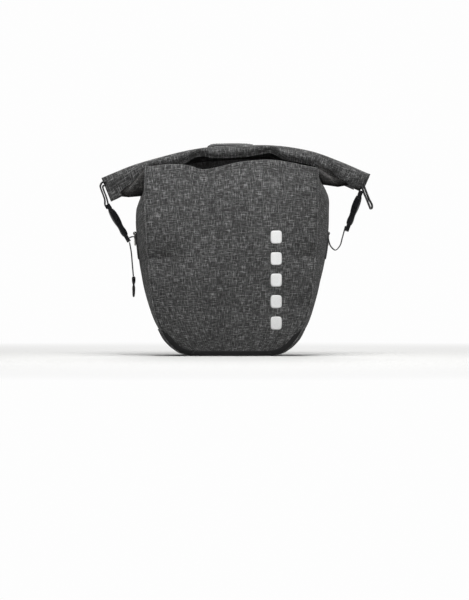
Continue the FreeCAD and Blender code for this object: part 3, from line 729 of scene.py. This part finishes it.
def roll():
    """The mouth rolled up on its stiffener: one spiral sheet whose outer turn hangs in soft scallops."""
    count, per_turn = 150, 34
    x, edge, down = roll_frame(count)
    theta = np.linspace(0, 2 * math.pi * ROLL_TURNS, int(per_turn * ROLL_TURNS))
    grown = theta / theta[-1]
    half_height = ROLL_CORE[0] + (ROLL_HEIGHT / 2 - 0.0006 - ROLL_CORE[0]) * grown
    half_depth = ROLL_CORE[1] + (ROLL_HALF_DEPTH - ROLL_CORE[1]) * grown ** 1.6
    start = math.radians(-90) - theta[-1]
    angle = start + theta
    power = 0.8
    sweep_y = -np.sign(np.cos(angle)) * np.abs(np.cos(angle)) ** power * half_depth
    sweep_h = ROLL_HEIGHT / 2 - np.sign(np.sin(angle)) * np.abs(np.sin(angle)) ** power * half_height
    flatten = 1 - 0.42 * ease((np.abs(x) - 0.150) / 0.070)
    y = sweep_y[None, :] * flatten[:, None]
    h = sweep_h[None, :] * np.ones(count)[:, None]
    h = h * (1 + 0.20 * ease((-x - 0.16) / 0.05) - 0.04 * ease((x - 0.195) / 0.04))[:, None]
    cut_from, cut_length, cut_share = ROLL_CUT
    h = h * (1 - cut_share * np.clip((x - cut_from) / cut_length, 0, 1))[:, None]
    drop = roll_drop(x)[:, None]
    front = ease((-y / flatten[:, None] - 0.002) / 0.008)
    h = h * (1 + (drop / ROLL_HEIGHT - 1) * front)
    station = x[:, None] * np.ones_like(y)
    points = np.stack([station, y, h], axis=-1)
    outer = ease((grown - 0.60) / 0.15)[None, :]
    creases = rumple(points, (0.055, 0.02, 0.012), 11.0) * 0.0016
    creases += rumple(points, (0.020, 0.01, 0.008), 5.0) * 0.0005
    y = y - creases * outer * front
    y = y - outer * front * 0.003 * bump(h - drop * 0.55, 0.006) * ease((0.20 - np.abs(station)) / 0.05)
    beyond = station - ROLL_CREASE[0] - (h - 0.004) * ROLL_CREASE[1]
    near_end = ease((station - CORNER) / 0.02)
    y = y - outer * front * 0.0050 * ease(beyond / 0.0035) * near_end
    y = y + outer * front * 0.0052 * bump(beyond + 0.006, 0.008) * near_end
    px = edge[:, 0, None] + down[:, 0, None] * h
    pz = edge[:, 1, None] + down[:, 1, None] * h
    points = np.stack([px, y, pz], axis=-1)
    piece = surface("rolled_mouth_cloth", points, CLOTH)
    # The inner turns under the outer turn take the near-black cloth: painted shade in the gap under the roll.
    piece.data.materials.append(ROLL_GAP_SHADE_CLOTH)
    under_outer_turn = (angle[None, :-1] < math.radians(-410)) & (np.abs(x[:-1, None]) < 0.16)
    piece.data.polygons.foreach_set("material_index", under_outer_turn.ravel().astype(np.int32))
    thicken(piece, 1.1 * MM, 0)
    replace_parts(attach(piece, "closure"), "rolled_top")


def under_roll(x, y, up=0.0):
    """A point tucked under the roll; up is measured from its lower side."""
    return np.stack(np.broadcast_arrays(x, y, roll_edge(x) - ROLL_HEIGHT + up), axis=-1)


COLLAR_HALF = 0.149                            # its half width, and how far in from there it grows slack
COLLAR_FADE = 0.045


def collar_tuck(x, side):
    """Where the collar goes in under the roll; at its ends it meets the folds behind the roll's lip."""
    deep = under_roll(x, np.full_like(x, 0.004 * side), 0.012)
    lip = np.stack([x, np.full_like(x, 0.0135 * side), np.full_like(x, 0.3252)], axis=1)
    return deep + (lip - deep) * ease((np.abs(x) - 0.100) / COLLAR_FADE)[:, None]


def collar():
    """Front and back cloth from the body's top edges in under the roll."""
    fold = fold_line()
    fold[:, 1] += FOLD_RADIUS
    fold[:, 2] += FOLD_RADIUS - 0.0010
    x = fold[:, 0]
    share = np.linspace(0, 1, 22)[:, None, None]
    slack = np.sin(math.pi * share[..., 0]) * ease((COLLAR_HALF - np.abs(x)) / COLLAR_FADE)
    front = fold + (collar_tuck(x, -1) - fold) * share
    front[..., 0] *= 1 + 0.022 * ease(share[..., 0] * 4) * ease((np.abs(x) - 0.12) / 0.03)
    front[..., 2] -= slack * (0.005 + 0.009 * bump(x + 0.045, 0.04) + 0.009 * bump(x - 0.06, 0.04))
    front[..., 2] += rumple(front, (0.03, 0.03, 0.1), 8.0) * 0.003 * slack
    piece = surface("collar_front_cloth", front, CLOTH_COLLAR)
    thicken(piece, FABRIC, -1)
    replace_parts(piece, "collar")
    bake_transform(piece)

    x = np.linspace(-0.146, 0.146, 66)
    edge_z = PANEL_TOP + (top_edge(x) - PANEL_TOP) * BACK_FOLLOWS
    edge = np.stack([x, np.full_like(x, BACK_Y - 0.0025), edge_z], axis=1)
    slack = np.sin(math.pi * share[..., 0]) * ease((COLLAR_HALF - np.abs(x)) / COLLAR_FADE)
    back = edge + (collar_tuck(x, 1) - edge) * share
    back[..., 0] *= 1 + 0.022 * ease(share[..., 0] * 4) * ease((np.abs(x) - 0.12) / 0.026)
    back[..., 2] += slack * (rumple(back, (0.03, 0.03, 0.1), 21.0) * 0.003 - 0.005)
    piece = surface("collar_back_cloth", back[:, ::-1], CLOTH_IN)
    thicken(piece, FABRIC, -1)
    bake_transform(piece)


# Each fold (x, y, z): the crest of its front facet, and where it tucks under the roll.
FOLDS = {
    "left": {"crest": [(-0.1500, -0.036, 0.3250), (-0.165, -0.032, 0.303), (-0.178, -0.017, 0.284),
                       (-0.180, -0.001, 0.2770)],
             "tuck": [(-0.151, -0.014, 0.3245), (-0.172, -0.008, 0.302), (-0.193, -0.006, 0.2850),
                      (-0.203, -0.001, 0.2790)]},
    "right": {"crest": [(0.1505, -0.036, 0.3240), (0.162, -0.032, 0.3135), (0.176, -0.020, 0.3035),
                        (0.186, -0.001, 0.2950)],
              "tuck": [(0.152, -0.014, 0.3245), (0.176, -0.008, 0.3125), (0.197, -0.006, 0.3025),
                       (0.207, -0.001, 0.2985)]},
}


def side_fold(name):
    """Cloth folded out from the gusset to the roll's end: a front half and a back half."""
    count, layers = 26, 17
    crest = through(FOLDS[name]["crest"], count)
    tuck = through(FOLDS[name]["tuck"], count)
    for half, label in ((-1, "front"), (1, "back")):
        t = np.linspace(0, 0.5, count) if half < 0 else np.linspace(1, 0.5, count)
        inner = gusset_edge(name, t)
        middle, outer = crest.copy(), tuck.copy()
        if half > 0:
            middle[:, 1] *= -1
            outer[:, 1] *= -1
        rows = []
        for share in np.linspace(0, 1, layers):
            near = inner + (middle - inner) * min(share * 2, 1)
            far = middle + (outer - middle) * max(share * 2 - 1, 0)
            rows.append(near if share <= 0.5 else far)
        inside_roll = np.array([0, -0.006 * half, 0.014])
        rows += [outer + inside_roll * share for share in (0.5, 1)]
        points = np.stack(rows)
        share = np.append(np.linspace(0, 1, layers), [1, 1])[:, None]
        points[..., 1] += half * 0.003 * np.sin(math.pi * share) * rumple(points, (0.02, 0.03, 0.02), 4.0)
        if (half < 0) == (name == "left"):
            points = points[:, ::-1]
        piece = surface(name + "_fold_" + label, points, CLOTH_FOLD)
        thicken(piece, 1.2 * MM, 0)
        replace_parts(piece, name + "_side_fold")
        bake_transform(piece)


# ---- webbing ----
BUCKLES = {"left": {"top": (-0.2150, 0.2610), "lean": -30.0},
           "right": {"top": (0.2255, 0.2845), "lean": 20.0}}


def ribbon(name, path, width, thickness, count=24):
    """Flat webbing along a path of (x, z) points, with its width in Y and firmer selvages."""
    half, thick = width / 2, thickness / 2
    upper = [(-half, 0.35), (-half + 0.0004, 0.85), (-half + 0.0012, 1.0), (-half + 0.0022, 0.9), (0, 0.9),
             (half - 0.0022, 0.9), (half - 0.0012, 1.0), (half - 0.0004, 0.85), (half, 0.35)]
    whole = upper + [(across, -out) for across, out in reversed(upper)]
    section = np.array([(across, out * thick) for across, out in whole])
    line = through([(x, 0, z) for x, z in path], count)
    return sweep(name, line, lambda share: section, TAPE)


def on_buckle(mark, across, up):
    angle = math.radians(mark["lean"])
    x, z = mark["top"]
    return (x + across * math.cos(angle) + up * math.sin(angle),
            z - across * math.sin(angle) + up * math.cos(angle))


def side_webbing(name, path, split):
    """Webbing from the gusset's patch to the buckle's plug, in two pieces that meet at point number split.

    The first runs from start to that point, and the second from there to the plug.
    """
    line = through([(x, 0, z) for x, z in path], 48)[:, ::2]
    piece = ribbon(name + "_side_webbing", line[:split + 1], WEBBING, WEB, 40)
    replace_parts(piece, name + "_side_strap")
    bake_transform(piece)
    piece = ribbon(name + "_plug_webbing", line[split:], WEBBING, WEB, 16)
    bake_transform(piece)


def buckle_faces():
    """The bowed faces of each buckle's socket and plug, from top to low along the buckle."""
    for name, mark in BUCKLES.items():
        for half, body, top, low, bow in (("socket", "closure", -0.0060, -0.0415, 0.0028),
                                          ("plug", name + "_plug", -0.0432, -0.0600, 0.0018)):
            axis = [on_buckle(mark, 0, up) for up in np.linspace(top, low, 24)]
            line = np.array([(x, 0, z) for x, z in axis])

            def section(share):
                rise = 0.0040 + bow * max(math.sin(math.pi * share), 0) ** 0.6
                return rounded_section(0.0118, rise, 0.7, 32)

            faces = sweep("%s_%s_faces" % (name, half), line, section, BUCKLE)
            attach(faces, body)


def tail_clip():
    """The moulded clip on the end of the strap's tail: tapered, with a waist."""
    low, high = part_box("left_tail_clip")
    line = np.stack([np.full(30, (low.x + high.x) / 2), np.zeros(30), np.linspace(high.z, low.z, 30)], axis=1)

    def section(share):
        waist = 0.0011 * math.exp(-((share - 0.42) / 0.08) ** 2)
        end = math.sqrt(max(1 - (2 * share - 1) ** 12, 0.04))
        return rounded_section((0.0145 - 0.0045 * ease(share * 1.4 - 0.4)) * end,
                               (0.0033 - 0.0012 * share - waist) * end, 0.6, 32)

    clip = sweep("left_tail_clip_moulding", line, section, BUCKLE)
    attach(clip, "closure")
    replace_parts(clip, "left_tail_clip")


def straps():
    """Loops at the roll's ends, side straps from the gussets to the plugs, and the left strap's free tail."""
    left, right = BUCKLES["left"], BUCKLES["right"]
    beside = -0.0035 - WEB / 2 - 0.0002      # clear of the socket's face
    path = [(-0.2185, 0.3035), (-0.2255, 0.3025), (-0.2293, 0.2968), (-0.2271, 0.2877), (-0.2243, 0.2803),
            (-0.2216, 0.2722), on_buckle(left, beside, 0.004), on_buckle(left, beside, -0.003)]
    piece = ribbon("left_upper_webbing", path, WEBBING, 1.4 * WEB)
    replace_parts(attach(piece, "closure"), "left_upper_strap")
    path = [(-0.2195, 0.2985), (-0.2248, 0.2955), (-0.2232, 0.2880), (-0.2205, 0.2810), (-0.2178, 0.2731),
            on_buckle(left, 0.0005, 0.0018)]
    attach(ribbon("left_upper_webbing_return", path, WEBBING, 1.4 * WEB), "closure")
    path = [(0.2310, 0.2975), (0.2345, 0.2880), (0.2402, 0.2735), (0.2458, 0.2590), (0.2452, 0.2566),
            (0.2428, 0.2566), (0.2418, 0.2590), (0.2362, 0.2730), (0.2305, 0.2865), (0.2280, 0.2960)]
    piece = ribbon("right_upper_webbing", path, WEBBING, 1.6 * WEB, 64)
    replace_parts(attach(piece, "closure"), "right_upper_strap")

    inner = on_buckle(left, 0.0036, -0.067)
    path = [(-0.1668, 0.2065), (-0.1730, 0.2075), (inner[0], inner[1] + 0.001)]
    side_webbing("left", path, 28)
    start = on_buckle(right, -0.0048, -0.064)
    path = [(0.1688, 0.205), (0.174, 0.190), (0.1815, 0.184), (0.189, 0.191), (0.1935, 0.205), start]
    side_webbing("right", path, 34)

    outer = on_buckle(left, 0, -0.0734)
    path = [outer, (-0.1755, 0.182), (-0.1735, 0.160), (-0.1715, 0.138)]
    piece = ribbon("left_tail_webbing", path, WEBBING, WEB)
    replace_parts(piece, "left_strap_tail")
    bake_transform(piece)


def handle():
    """Moulded carry handle: flat legs on their pins, and a rounder grip between them."""
    low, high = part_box("carry_handle")
    high.z += 0.005                      # the grip bows up a little under its own spring
    middle_y, leg, foot = (low.y + high.y) / 2, high.x - 0.0022, low.z + 0.006
    bend = 0.016
    corner = [(leg, foot), (leg, high.z - bend - 0.006), (leg - 0.0012, high.z - bend + 0.002),
              (leg - 0.006, high.z - 0.007), (leg - bend, high.z - 0.0045), (0.018, high.z - 0.004)]
    path = [(-x, middle_y, z) for x, z in corner] + [(x, middle_y, z) for x, z in reversed(corner)]
    line = through(path, 72)

    def section(share):
        grip = 1 - ease((abs(share - 0.5) - 0.20) / 0.10)
        ribs = 0.0004 * math.cos(share * 72 * math.pi) * grip
        return rounded_section(0.0098 - 0.0025 * grip, 0.0021 + 0.0022 * grip + ribs, 0.55 + 0.3 * grip, 24)

    piece = sweep("carry_handle_grip", line, section, HARDWARE)
    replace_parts(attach(piece, "handle_body"), "carry_handle")
    for side in SIDES.values():
        ends = [(side * (high.x - 0.0042), middle_y, foot), (side * (high.x + 0.0002), middle_y, foot)]
        eye = sweep("handle_eye_%s" % ("left" if side < 0 else "right"), np.array(ends),
                    lambda share: rounded_section(0.0062, 0.0062, count=28), HARDWARE)
        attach(eye, "handle_body")


THREAD_SECTION = rounded_section(0.38 * MM, 0.30 * MM, count=6)


def stitches(name, runs, piece, side):
    """Rows of thread on a piece of the bag's body that faces X: runs are ((y, z), (y, z)) lines."""
    patch = BVHTree.FromObject(piece, bpy.context.evaluated_depsgraph_get())
    pitch, length = 3.4 * MM, 2.5 * MM
    made = []
    for start, end in runs:
        start, end = np.array(start), np.array(end)
        total = np.linalg.norm(end - start)
        direction = (end - start) / total
        for k in range(int(total / pitch)):
            line = []
            for share, sink in ((0, 0.4), (0.25, -0.15), (0.75, -0.15), (1, 0.4)):
                y, z = start + direction * (k * pitch + 0.0005 + length * share)
                hit = patch.ray_cast(Vector((side * 0.5, y, z)), Vector((-side, 0, 0)))[0]
                if hit is None:
                    break
                line.append((hit.x - side * sink * MM, y, z))
            if len(line) == 4:
                across = (0, -direction[1], direction[0])
                made.append(sweep("stitch", np.array(line), lambda share: THREAD_SECTION, THREAD, across))
    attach(joined(name, made), "root")


def tab_stitches():
    """Two bars of stitches on each ring tab."""
    for name, side in SIDES.items():
        low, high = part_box(name + "_ring_tab")
        rows = [((low.y + 0.002, z), (high.y - 0.002, z)) for z in (high.z - 0.003, high.z - 0.007)]
        stitches(name + "_tab_stitches", rows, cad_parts[name + "_ring_tab"], side)


# ---- carried-over CAD parts ----
FINISHES = {
    "heather_fabric": CLOTH, "boot_rubber": BOOT, "webbing": TAPE_FLAT, "buckle_plastic": BUCKLE,
    "hardware_plastic": HARDWARE, "board_plastic": BOARD, "liner_rubber": LINER, "rail_aluminium": RAIL,
    "fastener_steel": STEEL, "reflective_print": PRINT,
}


def finish_cad_parts():
    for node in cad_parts.values():
        slot = node.data.materials[0].name.split(".")[0] if node.data.materials else ""
        material = FINISHES.get(slot, HARDWARE)
        for index in range(len(node.data.materials)):
            node.data.materials[index] = material


# ---- stage ----
def stage():
    """Pale floor that fades into a bright backdrop, and soft lamps."""
    size, bright = 14.0, 0.985
    mesh = bpy.data.meshes.new("floor")
    corners = [(-size, -size, 0), (size, -size, 0), (size, size, 0), (-size, size, 0)]
    mesh.from_pydata(corners, [], [(0, 1, 2, 3)])
    s = Shader("pale_floor")
    distance = s.add("VectorMath", {0: place(s)}, operation="LENGTH").outputs["Value"]
    s.finish(Base_Color=(0.62, 0.62, 0.61, 1), Roughness=0.7, Specular_IOR_Level=0.2)
    glow = s.add("Emission", {"Color": (1, 1, 1, 1), "Strength": bright})
    mix = s.add("MixShader", {0: s.spread(distance, 0.25, 1.6), 1: s.body.outputs[0], 2: glow.outputs[0]})
    s.tree.links.new(mix.outputs[0], s.tree.nodes["Material Output"].inputs["Surface"])
    mesh.materials.append(s.material)
    plane = put("floor", mesh)

    bpy.ops.mesh.primitive_uv_sphere_add(segments=48, ring_count=24, radius=size * 0.9)
    backdrop = bpy.context.object
    backdrop.name = "backdrop"
    s = Shader("bright_backdrop")
    glow = s.add("Emission", {"Color": (1, 1, 1, 1), "Strength": bright})
    s.tree.links.new(glow.outputs[0], s.tree.nodes["Material Output"].inputs["Surface"])
    backdrop.data.materials.append(s.material)
    backdrop.visible_diffuse = False
    backdrop.visible_shadow = False
    backdrop.visible_glossy = False

    world = bpy.data.worlds.new("studio")
    world.use_nodes = True
    sky = world.node_tree.nodes["Background"].inputs
    sky["Color"].default_value = (1, 1, 1, 1)
    sky["Strength"].default_value = 0.12
    bpy.context.scene.world = world

    lamps = [("key", (0.0, -0.95, 1.45), 0.7, 22), ("top", (0.1, -0.1, 2.2), 1.0, 26),
             ("fill", (1.9, -1.6, 1.1), 1.2, 8), ("rim", (0.0, 2.2, 1.5), 1.2, 26)]
    for name, at, width, power in lamps:
        lamp = bpy.data.lights.new(name, "AREA")
        lamp.size = width
        lamp.energy = power
        holder = put(name, lamp)
        holder.location = at
        holder.rotation_mode = "QUATERNION"
        holder.rotation_quaternion = (Vector((0, 0, 0.2)) - Vector(at)).to_track_quat("-Z", "Y")


def camera():
    """Level view of the outer face, from far enough off to look almost flat."""
    distance, shown_height = 5.0, 1.032
    data = bpy.data.cameras.new("camera")
    data.sensor_width = 36
    data.lens = data.sensor_width * distance / shown_height
    view = put("camera", data)
    view.location = (0.0052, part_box("front_panel")[0].y - distance, 0.0968)
    view.rotation_euler = (math.radians(90), 0, 0)
    bpy.context.scene.camera = view


# ---- everything ----
front_panel()
for side_name in SIDES:
    gusset(side_name)
    side_fold(side_name)
back_panel()
boot()
seams()
roll()
collar()
straps()
buckle_faces()
tail_clip()
handle()
tab_stitches()
finish_cad_parts()
stage()
camera()
bpy.context.scene.view_settings.view_transform = "Standard"
